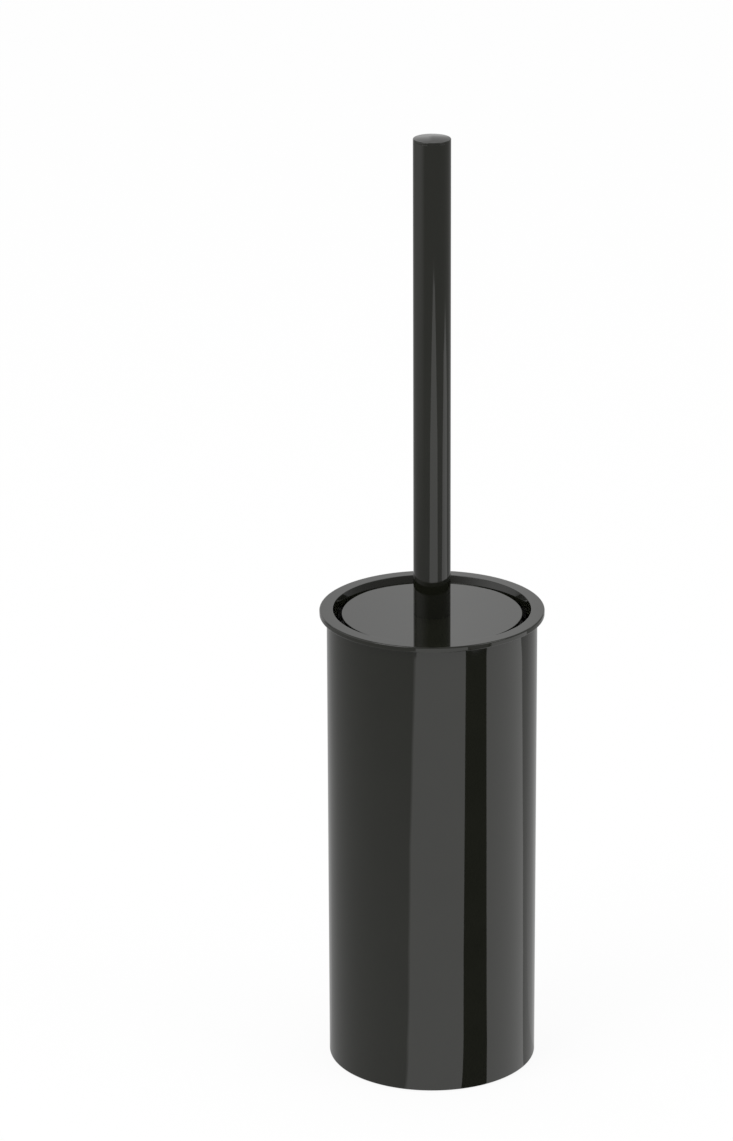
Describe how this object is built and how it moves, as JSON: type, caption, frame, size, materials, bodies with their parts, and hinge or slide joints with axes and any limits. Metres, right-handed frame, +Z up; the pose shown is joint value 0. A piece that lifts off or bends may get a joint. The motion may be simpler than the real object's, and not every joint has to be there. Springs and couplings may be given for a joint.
{
  "type": "toilet brush holder",
  "caption": "Free-standing toilet brush set: round flanged holder with a lift-out liner, and a brush that hangs in it from a flush lid with a straight round handle.",
  "frame": {"origin": "middle of the face that stands on the floor", "axes": "+Z up along the handle, +X to the right and +Y away from the viewer in the picture"},
  "size_m": [0.0908, 0.0908, 0.39],
  "materials": {
    "black_lacquer": "mirror gloss black lacquer on steel",
    "zinc_steel": "zinc plated steel, satin",
    "stainless_steel": "fine turned stainless steel",
    "foot_foam": "matt black foam rubber",
    "liner_plastic": "black moulded polypropylene, fine satin",
    "washer_nylon": "natural nylon",
    "core_plastic": "black moulded polypropylene",
    "bristle_nylon": "black nylon filaments"
  },
  "bodies": {
    "holder": {"outer_tube": "black_lacquer", "rim_ring": "black_lacquer", "base_pan": "zinc_steel", "foot_pad": "foot_foam"},
    "liner": {"liner": "liner_plastic"},
    "brush": {"lid": "black_lacquer", "handle_tube": "black_lacquer", "handle_cap": "black_lacquer", "handle_insert": "zinc_steel", "stud": "zinc_steel", "lid_washer": "washer_nylon", "stem": "stainless_steel", "brush_core": "core_plastic", "side_bristles": "bristle_nylon", "tip_bristles": "bristle_nylon"}
  },
  "joints": [
    {"name": "liner_lift", "type": "slide", "parent": "holder", "child": "liner", "axis": [0, 0, 1], "range_m": [0, 0.2]},
    {"name": "brush_lift", "type": "slide", "parent": "liner", "child": "brush", "axis": [0, 0, 1], "range_m": [0, 0.2]}
  ]
}
